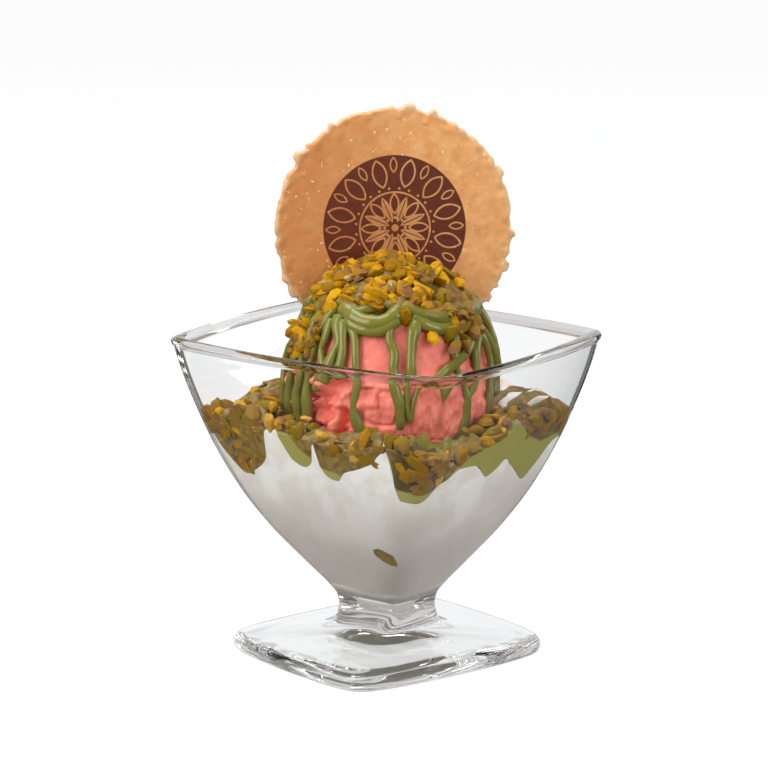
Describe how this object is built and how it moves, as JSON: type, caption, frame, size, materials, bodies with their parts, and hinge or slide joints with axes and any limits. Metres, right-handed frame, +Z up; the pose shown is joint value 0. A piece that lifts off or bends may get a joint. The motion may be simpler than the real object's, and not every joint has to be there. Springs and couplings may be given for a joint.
{
  "type": "strawberry sundae",
  "caption": "Square footed glass of white cream with a strawberry ice cream scoop, green pistachio sauce, chopped pistachios and a round patterned wafer.",
  "frame": {"origin": "middle of the underside of the foot", "axes": "+Z up; the front, where the bowl's nearest corner is, faces -Y"},
  "size_m": [0.1306, 0.1276, 0.1674],
  "materials": {
    "glass": "clear, polished",
    "cream": "soft, matt cream",
    "ice_cream": "matt coral pink, with glossy green sauce and chopped yellow nuts",
    "wafer": "baked, matt"
  },
  "bodies": {
    "root": {"glass": "glass", "cream": "cream", "scoop": "ice_cream", "wafer": "wafer"}
  },
  "joints": []
}
